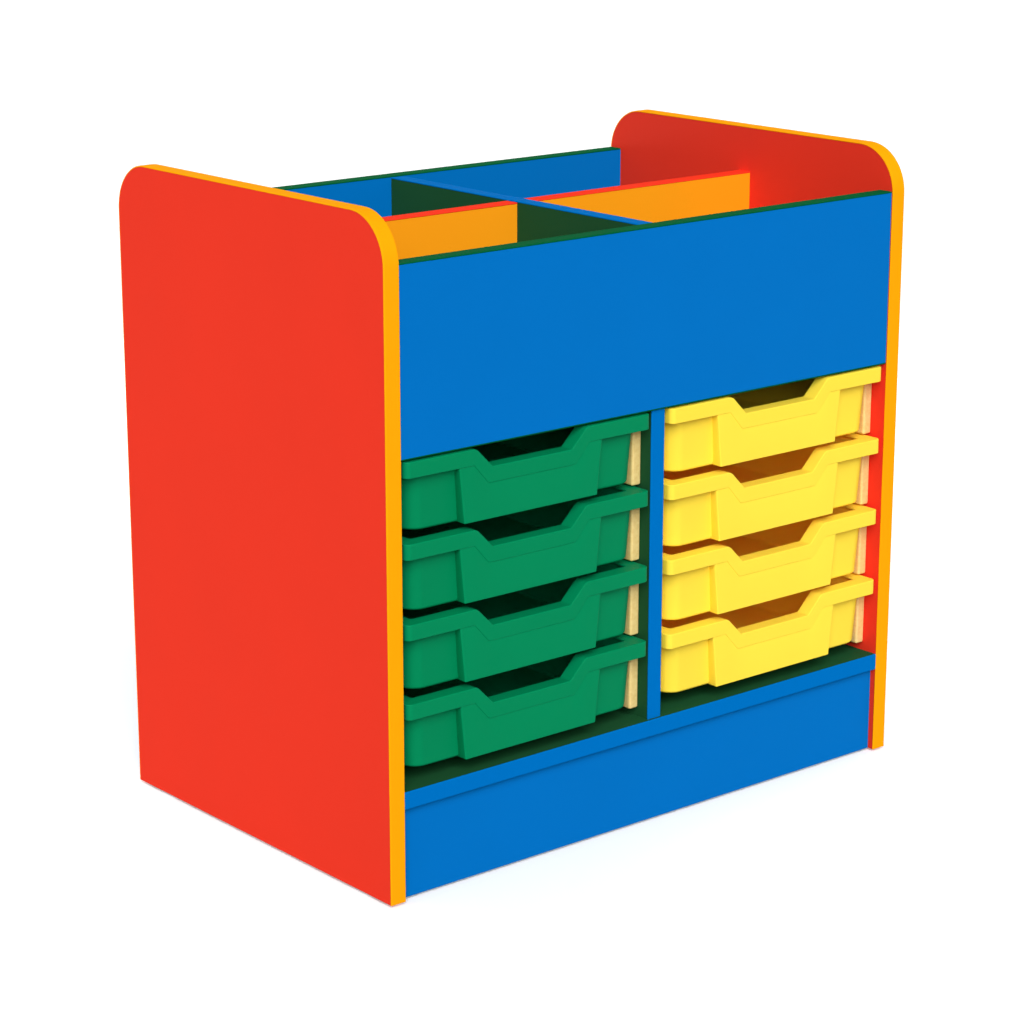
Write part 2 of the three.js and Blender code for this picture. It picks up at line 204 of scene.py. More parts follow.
class FinishColours(bpy.types.PropertyGroup):
    """Colours of the finishes."""

    red_board: colour("Red board", "Side panels", "#e83724")
    blue_board: colour("Blue board", "Front, back and plinth", "#006dbc")
    green_board: colour("Green board", "Shelves and the dividers that run front to back", "#1d4f2e")
    orange_board: colour("Orange board", "Cross dividers", "#ff9f16")
    orange_lipping: colour("Orange strip", "Edges of the side panels", "#ffa30a")
    blue_lipping: colour("Blue strip", "Edges of the shelf, bay divider and long divider", "#006dbc")
    green_lipping: colour("Green strip", "Edges of the front and back panels", "#055a31")
    red_lipping: colour("Red strip", "Edges of the cross dividers", "#fa3a22")
    green_tray: colour("Green tray", "Trays in the left bay", "#008353")
    yellow_tray: colour("Yellow tray", "Trays in the right bay", "#ffdf45")
    maple_runner: colour("Maple", "Pale wood of the runners", "#ecd18b")
    zinc_screw: colour("Zinc", "Screws of the runners", "#c6cacd")
    grey_glide: colour("Glide", "Pads under the side panels", "#c9ccce")
    floor: colour("Floor", "Studio floor", "#ffffff")
    floor_bounce: colour("Floor bounce", "Floor as it throws light back on to the unit", "#a4a4a4")


class StageSettings(bpy.types.PropertyGroup):
    """Camera and light."""

    camera_place: FloatVectorProperty(
        name="Camera place", description="Where the camera stands", size=3, subtype="TRANSLATION",
        unit="LENGTH", default=(-1.8737, -2.2248, 1.0934))
    camera_azimuth: degrees("Camera azimuth", "Turn of the camera from straight ahead", -39.973)
    camera_elevation: degrees("Camera elevation", "Tilt of the camera below level", 15.422)
    camera_lens: FloatProperty(
        name="Camera lens", description="Focal length on a 36 mm wide sensor", subtype="DISTANCE_CAMERA",
        default=98.04)
    sky_strength: strength("Sky strength", "Level of the even white light all round", 0.24)
    key_strength: strength("Key strength", "Level of the broad soft key light", 3.62)
    key_azimuth: degrees("Key azimuth", "Turn of the key light from straight ahead", -33)
    key_elevation: degrees("Key elevation", "Height of the key light above level", 33)
    key_softness: degrees("Key softness", "Angle that the key light fills", 44)
    fill_strength: strength("Fill strength", "Level of the weak light from behind", 1.0)
    fill_azimuth: degrees("Fill azimuth", "Turn of the fill light from straight ahead", 170)
    fill_elevation: degrees("Fill elevation", "Height of the fill light above level", 30)
    fill_softness: degrees("Fill softness", "Angle that the fill light fills", 60)
    left_power: watts("Left softbox", "Power of the low softbox on the left", 8.8)
    right_power: watts("Right softbox", "Power of the low softbox on the right", 20.0)
    rear_power: watts("Rear softbox", "Power of the low softbox at the back", 20.0)
    softbox_distance: length("Softbox distance", "Place of each softbox from the unit's middle", 2500)
    softbox_height: length("Softbox height", "Height of the middle of each softbox", 300)
    softbox_size: length("Softbox size", "Width and height of each softbox", 600)
    floor_glow: strength("Floor glow", "White added to the floor as the camera sees it", 0.15)


def quarter_turn(steps):
    """Even angles from 0 to 90 degrees."""
    return np.linspace(0, np.pi / 2, steps + 1)


def corner_fan(steps):
    """Angles round a plan's four corners, from the front right on, and each corner's signs of x, y."""
    angle = (quarter_turn(steps) + np.arange(-1, 3)[:, None] * np.pi / 2).ravel()
    return angle, np.repeat([1, 1, -1, -1], steps + 1), np.repeat([-1, 1, 1, -1], steps + 1)


def closed_shell(rings):
    """Closed surface through rings of points: quads join the rings, a flat polygon shuts each end."""
    count, around = rings.shape[:2]
    start = np.arange(count - 1)[:, None] * around
    here = np.arange(around)
    there = np.roll(here, -1)
    corners = (start + here, start + there, start + around + there, start + around + here)
    quads = np.stack(corners, axis=-1).reshape(-1, 4)
    ends = np.stack([here[::-1], here + (count - 1) * around])
    return rings.reshape(-1, 3), quads, ends


def rounded_block(low, high, edge, corner=None):
    """Block between two corner points with all its edges rounded.

    A rectangle with round corners is carried upwards, drawn in by a quarter circle at each end.
    """
    low, high = np.array(low), np.array(high)
    middle, half = (low + high) / 2, (high - low) / 2
    angle, side_x, side_y = corner_fan(CORNER_STEPS if corner else EDGE_STEPS)
    corner = corner or BLOCK_CORNER * edge
    turn = quarter_turn(EDGE_STEPS)
    inset = edge * (1 - np.sin(turn))
    rise = edge * (1 - np.cos(turn))
    inset = np.concatenate([inset, inset[::-1]])[:, None]
    height = np.concatenate([low[2] + rise, high[2] - rise[::-1]])[:, None]
    x = middle[0] + side_x * (half[0] - corner) + (corner - inset) * np.cos(angle)
    y = middle[1] + side_y * (half[1] - corner) + (corner - inset) * np.sin(angle)
    return closed_shell(np.stack([x, y, np.broadcast_to(height, x.shape)], axis=-1))


def strip_section(width, thickness, edge):
    """Section of an edge strip, across and outward: flat on its board, with two rounded outer corners."""
    turn = quarter_turn(EDGE_STEPS)
    across = width / 2 - edge + edge * np.cos(turn)
    outward = thickness - edge + edge * np.sin(turn)
    foot = np.array([[-width / 2, 0], [width / 2, 0]])
    right = np.stack([across, outward], axis=-1)
    left = right[::-1] * (-1, 1)
    return np.concatenate([foot, right, left])


def swept_strip(path, outward, section):
    """Strip along a path: the section stands on each point, out along its normal and across both ways."""
    ahead = np.gradient(path, axis=0)
    across = np.cross(outward, ahead)
    across /= np.linalg.norm(across, axis=-1, keepdims=True)
    rings = path[:, None] + section[:, :1] * across[:, None] + section[:, 1:] * outward[:, None]
    return closed_shell(rings)


def arch(x, front, rear, bottom, top, radius):
    """Path up a side panel's rear edge, over two quarter circles and down its front, with its normals."""
    turn = quarter_turn(CURVE_STEPS)
    angle = np.concatenate([turn, turn + np.pi / 2])
    centre = np.repeat([rear - radius, front + radius], CURVE_STEPS + 1)
    y = np.concatenate([[rear], centre + radius * np.cos(angle), [front]])
    z = np.concatenate([[bottom], top - radius + radius * np.sin(angle), [bottom]])
    angle = np.concatenate([[0], angle, [np.pi]])
    outward = np.stack([np.zeros_like(angle), np.cos(angle), np.sin(angle)], axis=-1)
    return np.stack([np.full_like(y, x), y, z], axis=-1), outward


def arched_board(low, high, radius, edge):
    """Side panel: the arch outline carried along X, drawn in by a small chamfer at each face."""
    places = ((low.x, edge), (low.x + edge, 0), (high.x - edge, 0), (high.x, edge))
    rings = [arch(x, low.y + e, high.y - e, low.z + e, high.z - e, radius - e)[0] for x, e in places]
    return closed_shell(np.array(rings))


def straight_strip(low, high, along, outward, edge):
    """Edge strip of a straight board edge, whose box and directions are known."""
    low, high = np.array(low), np.array(high)
    size, middle = high - low, (low + high) / 2
    thickness = size @ np.abs(outward)
    width = size.sum() - thickness - size @ along
    foot = middle - outward * thickness / 2
    path = foot + np.outer([-0.5, 0.5], along * (size @ along))
    return swept_strip(path, np.tile(outward, (2, 1)), strip_section(width, thickness, edge))


def screw_head(centre, facing, diameter):
    """Countersunk head with a cross recess.

    A profile of radius and height, in parts of the diameter, is turned about the axis. The rows of the
    recess swell and shrink once for each arm of the cross.
    """
    angle = np.linspace(0, 2 * np.pi, SCREW_STEPS, endpoint=False)
    shank, cone, rim, crown = (0.2, -0.45), (0.47, -0.06), (0.5, 0), (0.46, 0.03)
    mouth, floor = (0.3, 0.03), (0.16, -0.25)
    radius, height = diameter * np.array([shank, cone, rim, crown, mouth, floor]).T[:, :, None]
    in_recess = np.array([0, 0, 0, 0, 1, 1])[:, None]
    lobes = 1 - CROSS_WAIST * (1 - np.cos(CROSS_ARMS * angle)) * in_recess
    first, second = (Y, Z) if facing[0] > 0 else (Z, Y)
    spread = np.cos(angle)[:, None] * first + np.sin(angle)[:, None] * second
    return closed_shell(centre + (radius * lobes)[:, :, None] * spread + height[:, :, None] * facing)


def lowering(x, floor, run, depth, upper, lower):
    """Depth of a dip at each x: an upper arc, a straight slope, a lower arc and a floor, all tangent."""
    slope = np.arctan2(depth, run)
    x = np.abs(x)
    start = floor / 2 + run + upper * np.tan(slope / 2)
    end = floor / 2 - lower * np.tan(slope / 2)
    over = np.clip(start - x, 0, upper * np.sin(slope))
    into = np.clip(x - end, 0, lower * np.sin(slope))
    straight = (floor / 2 + run - x) * np.tan(slope)
    high = upper - np.sqrt(upper ** 2 - over ** 2)
    deep = depth - lower + np.sqrt(lower ** 2 - into ** 2)
    on_upper = x > start - upper * np.sin(slope)
    on_lower = x < end + lower * np.sin(slope)
    return np.where(on_upper, high, np.where(on_lower, deep, straight))


def dip_lowering(x, s):
    """How far the rim's top is lowered along the tray front."""
    return lowering(x, s.dip_floor, s.dip_run, s.dip_depth, s.dip_corner, s.rim_edge)


def band_lowering(x, s):
    """How far the rim's lower edge is lowered along the tray front."""
    return lowering(x, s.band_floor, s.band_run, s.dip_depth, s.rim_edge, s.band_corner)


def front_columns(s):
    """Places across the tray front where the surface has points: close together on the dip's slopes."""
    foot, top = s.dip_floor / 2, s.dip_floor / 2 + s.dip_run
    slope = np.arange(foot - COLUMNS_PAST_FOOT, top + COLUMNS_PAST_TOP, COLUMN_GAP)
    return np.concatenate([-slope[::-1], slope])


def tray_profile(height, s):
    """Section of the tray wall: rows of inset, height, corner radius, follows dip, follows band and leans.

    It goes from the rounded base edge up the outside of the tub, out under the rim, round the skirt, over
    the ledge and back down the inside. The inset of a leaning row counts from the drafted tub wall.
    """
    turn = quarter_turn(EDGE_STEPS)
    out, up = 1 - np.sin(turn), 1 - np.cos(turn)
    under, foot = height - s.wall, height - s.rim_height
    ease = LIP_EASE * s.wall
    lip = s.rim_ledge
    tub = [(s.base_edge * o, s.base_edge * u, s.tub_corner, 0, 0, 1) for o, u in zip(out, up)]
    skirt = [
        (0, under, s.tub_corner, 1, 0, 1),
        (s.wall, under, s.rim_corner - s.wall, 1, 0, 0),
        (s.wall, foot + ease, s.rim_corner - s.wall, 0, 1, 0),
        (s.wall - ease, foot, s.rim_corner - s.wall + ease, 0, 1, 0),
        (ease, foot, s.rim_corner - ease, 0, 1, 0),
        (0, foot + ease, s.rim_corner, 0, 1, 0),
    ]
    top = [(s.rim_edge * u, height - s.rim_edge * o, s.rim_corner - s.rim_edge * u, 1, 0, 0)
           for o, u in zip(out, up)]
    edge = [(lip - ease * o, height - ease * u, s.opening_corner + ease * o, 1, 0, 0)
            for o, u in zip(out, up)]
    inside = [
        (lip, under + ease, s.opening_corner, 1, 0, 0),
        (lip - ease, under, s.opening_corner + ease, 1, 0, 0),
        (s.wall, under, s.tub_corner - s.wall, 1, 0, 1),
    ]
    cove = [(s.wall + s.base_edge * o, s.wall + s.base_edge * u, s.tub_corner - s.wall, 0, 0, 1)
            for o, u in zip(out[::-1], up[::-1])]
    return np.array(tub + skirt + top + edge + inside + cove).T[:, :, None]


def tray_shell(low, high, s):
    """Tub and rim of a tray as one closed surface.

    The wall's section is carried round a rectangle with round corners. Along the front, rows of the rim
    sink by the dip, rows of its lower edge by the band, and the tub wall leans on down to where it ends.
    """
    low, high = np.array(low), np.array(high)
    half, middle = (high - low) / 2, (low + high) / 2
    inset, z, corner, on_dip, on_band, leans = tray_profile(high[2] - low[2], s)
    lean = np.tan(s.draft)
    inset = inset + leans * (s.rim_overhang + (high[2] - low[2] - z) * lean)

    front_x = front_columns(s)
    sink = on_dip * dip_lowering(front_x, s) + on_band * band_lowering(front_x, s)
    front_y = inset + leans * sink * lean - half[1]
    front = np.stack([np.broadcast_to(front_x, sink.shape), front_y, z - sink], axis=-1)

    angle, side_x, side_y = corner_fan(CORNER_STEPS)
    round_x = side_x * (half[0] - inset - corner) + corner * np.cos(angle)
    round_y = side_y * (half[1] - inset - corner) + corner * np.sin(angle)
    corners = np.stack([round_x, round_y, np.broadcast_to(z, round_x.shape)], axis=-1)
    return closed_shell(np.concatenate([front, corners], axis=1) + (*middle[:2], low[2]))


def apron_shell(low, high, s):
    """Apron of a tray: a plate hung from the rim, bent round its two front corners, tapered to its foot.

    Its section, a thin upright loop, is carried from the tub wall forward, across the front and back.
    A row of the loop with no level of its own follows the rim's lower edge.
    """
    low, high = np.array(low), np.array(high)
    height, half_depth = high[2] - low[2], (high[1] - low[1]) / 2
    foot = height - s.rim_height
    ease = FOOT_EASE * s.wall

    turn = quarter_turn(EDGE_STEPS)
    reach = s.apron_top / 2 - s.apron_corner
    columns = front_columns(s)
    bend_x = np.concatenate([-np.cos(turn), np.zeros_like(columns), np.sin(turn)])
    bend_y = np.concatenate([-np.sin(turn), -np.ones_like(columns), -np.cos(turn)])
    centre_x = np.concatenate([np.full_like(turn, -reach), columns, np.full_like(turn, reach)])

    rows = ((ease, 0), (s.wall - ease, 0), (s.wall, ease), (s.wall, None), (0, None), (0, ease))
    top = foot + ease + s.wall
    loop = []
    for inset, level in rows:
        z = top - band_lowering(centre_x, s) if level is None else np.full_like(centre_x, level)
        taper = 1 - (1 - s.apron_bottom / s.apron_top) * (foot - z) / foot
        radius = s.apron_corner - inset
        x = centre_x * taper + radius * bend_x
        y = s.apron_setback + s.apron_corner + radius * bend_y
        wall = s.rim_overhang + (height - z[[0, -1]]) * np.tan(s.draft) + s.wall / 2
        x = np.concatenate([x[:1], x, x[-1:]])
        y = np.concatenate([wall[:1], y, wall[1:]])
        z = np.concatenate([z[:1], z, z[-1:]])
        loop.append(np.stack([x, y, z], axis=-1))
    rings = np.stack(loop, axis=1) + ((low[0] + high[0]) / 2, low[1], low[2])
    return closed_shell(rings)


def node(tree, kind, settings, inputs):
    """Adds one node: settings are its properties, inputs its socket values or the outputs it is fed."""
    made = tree.nodes.new(kind)
    for key, value in settings.items():
        setattr(made, key, value)
    for key, value in inputs.items():
        if isinstance(value, bpy.types.NodeSocket):
            tree.links.new(value, made.inputs[key])
        else:
            made.inputs[key].default_value = value
    return made


def new_material(name):
    """A node material with nothing in it yet."""
    material = bpy.data.materials.new(name)
    material.use_nodes = True
    material.node_tree.nodes.clear()
    return material


def shade(tone, factor):
    """A colour made lighter or darker by a factor, or by one for each channel."""
    return (*np.minimum(1.0, np.array(tone[:3]) * factor).tolist(), 1.0)


def melamine_faced_board(tree, place, tone):
    """Melamine faced chipboard: even satin colour, the press plate's fine pearl, a slow drift of sheen."""
    # The pearl of the plate is about 0.4 mm, too fine to show, so it is drawn at 2 mm
    pearl = node(tree, "ShaderNodeTexNoise", {}, {"Vector": place, "Scale": 1 / (2 * MM), "Detail": 3.0})
    drift = node(tree, "ShaderNodeTexNoise", {}, {"Vector": place, "Scale": 1 / (120 * MM), "Detail": 2.0})
    base = node(tree, "ShaderNodeMix", {"data_type": "RGBA"}, {
        MIX_FACTOR: drift.outputs["Fac"],
        MIX_FIRST: shade(tone, 0.97),
        MIX_SECOND: shade(tone, 1.03)})
    sheen = node(tree, "ShaderNodeMapRange", {},
                 {"Value": drift.outputs["Fac"], "To Min": 0.55, "To Max": 0.65})
    bump = node(tree, "ShaderNodeBump", {},
                {"Strength": 0.12, "Distance": 0.1 * MM, "Height": pearl.outputs["Fac"]})
    return node(tree, "ShaderNodeBsdfPrincipled", {}, {
        "Base Color": base.outputs[MIX_RESULT], "Roughness": sheen.outputs["Result"], "IOR": 1.5,
        "Specular IOR Level": 0.03, "Normal": bump.outputs["Normal"]})


def abs_edge_strip(tree, place, tone):
    """Extruded ABS edge strip: clean colour, a little smoother than the board, a faint orange peel."""
    peel = node(tree, "ShaderNodeTexNoise", {}, {"Vector": place, "Scale": 1 / (3 * MM), "Detail": 2.0})
    base = node(tree, "ShaderNodeMix", {"data_type": "RGBA"}, {
        MIX_FACTOR: peel.outputs["Fac"],
        MIX_FIRST: shade(tone, 0.98),
        MIX_SECOND: shade(tone, 1.02)})
    bump = node(tree, "ShaderNodeBump", {},
                {"Strength": 0.1, "Distance": 0.1 * MM, "Height": peel.outputs["Fac"]})
    return node(tree, "ShaderNodeBsdfPrincipled", {}, {
        "Base Color": base.outputs[MIX_RESULT], "Roughness": 0.6, "IOR": 1.52,
        "Specular IOR Level": 0.002, "Normal": bump.outputs["Normal"]})


def moulded_polypropylene(tree, place, tone):
    """Injection moulded polypropylene: strong even colour under a fine spark texture, a soft gloss."""
    # A spark-eroded mould leaves a grain of about 0.3 mm, too fine to show, so it is drawn at 1.5 mm
    spark = node(tree, "ShaderNodeTexNoise", {}, {"Vector": place, "Scale": 1 / (1.5 * MM), "Detail": 4.0})
    flow = node(tree, "ShaderNodeTexNoise", {}, {"Vector": place, "Scale": 1 / (70 * MM), "Detail": 2.0})
    base = node(tree, "ShaderNodeMix", {"data_type": "RGBA"}, {
        MIX_FACTOR: flow.outputs["Fac"],
        MIX_FIRST: shade(tone, 0.97),
        MIX_SECOND: shade(tone, 1.03)})
    gloss = node(tree, "ShaderNodeMapRange", {},
                 {"Value": spark.outputs["Fac"], "To Min": 0.45, "To Max": 0.6})
    bump = node(tree, "ShaderNodeBump", {},
                {"Strength": 0.15, "Distance": 0.1 * MM, "Height": spark.outputs["Fac"]})
    return node(tree, "ShaderNodeBsdfPrincipled", {}, {
        "Base Color": base.outputs[MIX_RESULT], "Roughness": gloss.outputs["Result"], "IOR": 1.49,
        "Specular IOR Level": 0.05, "Normal": bump.outputs["Normal"]})


def lacquered_wood(tree, place, tone):
    """Planed maple under clear lacquer: pale, with fine grain along the batten and short dark flecks."""
    dark = shade(tone, (0.89, 0.82, 0.7))
    along = node(tree, "ShaderNodeMapping", {}, {"Vector": place, "Scale": (1.0, 0.03, 1.0)})
    grain = node(tree, "ShaderNodeTexNoise", {},
                 {"Vector": along.outputs["Vector"], "Scale": 1 / (4 * MM), "Detail": 5.0,
                  "Distortion": 0.4})
    fleck = node(tree, "ShaderNodeTexNoise", {},
                 {"Vector": along.outputs["Vector"], "Scale": 1 / (1 * MM), "Detail": 2.0})
    band = node(tree, "ShaderNodeMapRange", {},
                {"Value": grain.outputs["Fac"], "From Min": 0.3, "From Max": 0.7})
    line = node(tree, "ShaderNodeMapRange", {},
                {"Value": fleck.outputs["Fac"], "From Min": 0.6, "From Max": 0.75, "To Max": 0.25})
    wood = node(tree, "ShaderNodeMix", {"data_type": "RGBA"}, {
        MIX_FACTOR: band.outputs["Result"],
        MIX_FIRST: tone,
        MIX_SECOND: dark})
    base = node(tree, "ShaderNodeMix", {"data_type": "RGBA"}, {
        MIX_FACTOR: line.outputs["Result"],
        MIX_FIRST: wood.outputs[MIX_RESULT],
        MIX_SECOND: shade(dark, 0.85)})
    bump = node(tree, "ShaderNodeBump", {},
                {"Strength": 0.15, "Distance": 0.1 * MM, "Height": grain.outputs["Fac"]})
    return node(tree, "ShaderNodeBsdfPrincipled", {}, {
        "Base Color": base.outputs[MIX_RESULT], "Roughness": 0.45, "IOR": 1.5,
        "Specular IOR Level": 0.35, "Normal": bump.outputs["Normal"]})


def moulded_nylon(tree, place, tone):
    """Moulded nylon pad: pale, dull and slightly mottled."""
    mottle = node(tree, "ShaderNodeTexNoise", {}, {"Vector": place, "Scale": 1 / (4 * MM), "Detail": 3.0})
    base = node(tree, "ShaderNodeMix", {"data_type": "RGBA"}, {
        MIX_FACTOR: mottle.outputs["Fac"],
        MIX_FIRST: shade(tone, 0.92),
        MIX_SECOND: shade(tone, 1.05)})
    return node(tree, "ShaderNodeBsdfPrincipled", {}, {
        "Base Color": base.outputs[MIX_RESULT], "Roughness": 0.55, "IOR": 1.53,
        "Specular IOR Level": 0.3})


def plated_steel(tree, place, tone):
    """Zinc plated screw steel: a cool pale metal, with the faint patches that tumbling leaves."""
    patch = node(tree, "ShaderNodeTexNoise", {}, {"Vector": place, "Scale": 1 / (1.5 * MM), "Detail": 3.0})
    base = node(tree, "ShaderNodeMix", {"data_type": "RGBA"}, {
        MIX_FACTOR: patch.outputs["Fac"],
        MIX_FIRST: shade(tone, 0.9),
        MIX_SECOND: shade(tone, 1.05)})
    haze = node(tree, "ShaderNodeMapRange", {},
                {"Value": patch.outputs["Fac"], "To Min": 0.25, "To Max": 0.45})
    return node(tree, "ShaderNodeBsdfPrincipled", {}, {
        "Base Color": base.outputs[MIX_RESULT], "Metallic": 1.0, "Roughness": haze.outputs["Result"]})


# What the pieces of each kind of slot are made of: each adds its nodes and returns the surface's shader
MAKERS = {
    "board": melamine_faced_board,
    "lipping": abs_edge_strip,
    "tray": moulded_polypropylene,
    "runner": lacquered_wood,
    "glide": moulded_nylon,
    "screw": plated_steel,
}


def finish_of(slot):
    """The material of a record slot, named for its colour and stuff, made when it is first asked for."""
    colour_word, kind = slot.split("_")
    make = MAKERS[kind]
    name = f"{colour_word}_{make.__name__}"
    if name in bpy.data.materials:
        return bpy.data.materials[name]
    material = new_material(name)
    tree = material.node_tree
    place = node(tree, "ShaderNodeTexCoord", {}, {}).outputs["Object"]
    surface = make(tree, place, getattr(bpy.context.scene.tray_unit_colours, slot))
    node(tree, "ShaderNodeOutputMaterial", {}, {"Surface": surface.outputs["BSDF"]})
    return material


def add_piece(name, surfaces, slot, body):
    """Makes one object of closed surfaces, with the finish of a record slot, which moves with a body."""
    mesh = bpy.data.meshes.new(name)
    vertices, faces, first = [], [], 0
    for points, quads, ends in surfaces:
        vertices.append(points)
        faces += (quads + first).tolist() + (ends + first).tolist()
        first += len(points)
    mesh.from_pydata(np.concatenate(vertices).tolist(), [], faces)
    mesh.polygons.foreach_set("use_smooth", np.ones(len(faces), dtype=bool))
    mesh.materials.append(finish_of(slot))
    piece = bpy.data.objects.new(name, mesh)
    bpy.context.scene.collection.objects.link(piece)
    piece.modifiers.new("Flat faces stay flat", "WEIGHTED_NORMAL").weight = LARGE_FACE_WEIGHT
    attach(piece, body)
    return piece


def finish_node(cad_node, surfaces, slot, body):
    """Puts a finished piece in the place of a CAD node."""
    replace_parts(add_piece(cad_node + "_finished", surfaces, slot, body), cad_node)


class TRAYUNIT_OT_side_panels(bpy.types.Operator):
    """Arched side panels with an edge strip wrapped over them"""

    bl_idname = "tray_unit.side_panels"
    bl_label = "Side panels"

    def execute(self, context):
        sizes = context.scene.tray_unit_cabinet
        for side in SIDES:
            board, strip = f"{side}_side_panel", f"{side}_side_lipping"
            low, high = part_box(board)
            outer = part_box(strip)[1]
            thickness = outer.z - high.z
            radius = sizes.panel_corner - thickness
            finish_node(board, [arched_board(low, high, radius, sizes.board_edge)], "red_board", CARCASS)
            path, outward = arch((low.x + high.x) / 2, low.y, high.y, low.z, high.z, radius)
            section = strip_section(high.x - low.x, thickness, sizes.strip_edge)
            finish_node(strip, [swept_strip(path, outward, section)], "orange_lipping", CARCASS)
        return {"FINISHED"}


class TRAYUNIT_OT_boards(bpy.types.Operator):
    """Flat boards between the side panels, and their edge strips"""

    bl_idname = "tray_unit.boards"
    bl_label = "Boards and edge strips"

    def execute(self, context):
        sizes = context.scene.tray_unit_cabinet
        for name, slot in BOARDS.items():
            finish_node(name, [rounded_block(*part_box(name), sizes.board_edge)], slot, CARCASS)
        for name, (slot, along, outward) in STRIPS.items():
            surface = straight_strip(*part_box(name), along, outward, sizes.strip_edge)
            finish_node(name, [surface], slot, CARCASS)
        return {"FINISHED"}


class TRAYUNIT_OT_runners(bpy.types.Operator):
    """Timber runners, a pair for each tray, and the screws that hold them"""

    bl_idname = "tray_unit.runners"
    bl_label = "Runners"

    def execute(self, context):
        sizes = context.scene.tray_unit_cabinet
        for bay, row, side in product(SIDES, TRAY_ROWS, SIDES):
            self.add_runner(f"runner_{bay}_bay_{row}_{side}", side, sizes)
        return {"FINISHED"}

    @staticmethod
    def add_runner(name, side, sizes):
        """One runner, with its screws in the face that looks at the tray."""
        low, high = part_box(name)
        finish_node(name, [rounded_block(low, high, sizes.runner_edge)], "maple_runner", CARCASS)
        face, facing = (high.x, X) if side == "left" else (low.x, -X)
        level = (low.z + high.z) / 2
        reach = np.linspace(low.y + sizes.screw_inset, high.y - sizes.screw_inset, SCREWS_IN_RUNNER)
        screws = [screw_head((face, y, level), facing, sizes.screw_head) for y in reach]
        add_piece(name + "_screws", screws, "zinc_screw", CARCASS)


class TRAYUNIT_OT_glides(bpy.types.Operator):
    """Glide pads under the side panels"""

    bl_idname = "tray_unit.glides"
    bl_label = "Glides"

    def execute(self, context):
        edge = context.scene.tray_unit_cabinet.glide_edge
        for side, end in product(SIDES, ("front", "rear")):
            name = f"glide_{side}_{end}"
            low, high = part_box(name)
            pad = rounded_block(low, high, edge, corner=(high.x - low.x) / 2 - PAD_FLAT)
            finish_node(name, [pad], "grey_glide", CARCASS)
        return {"FINISHED"}


class TRAYUNIT_OT_trays(bpy.types.Operator):
    """Moulded trays, green in the left bay and yellow in the right one"""

    bl_idname = "tray_unit.trays"
    bl_label = "Trays"

    def execute(self, context):
        sizes = context.scene.tray_unit_trays
        for bay, slot in zip(SIDES, ("green_tray", "yellow_tray")):
            for row in TRAY_ROWS:
                name = f"tray_{bay}_{row}"
                low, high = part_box(name)
                surfaces = [tray_shell(low, high, sizes), apron_shell(low, high, sizes)]
                finish_node(name, surfaces, slot, name)
        return {"FINISHED"}


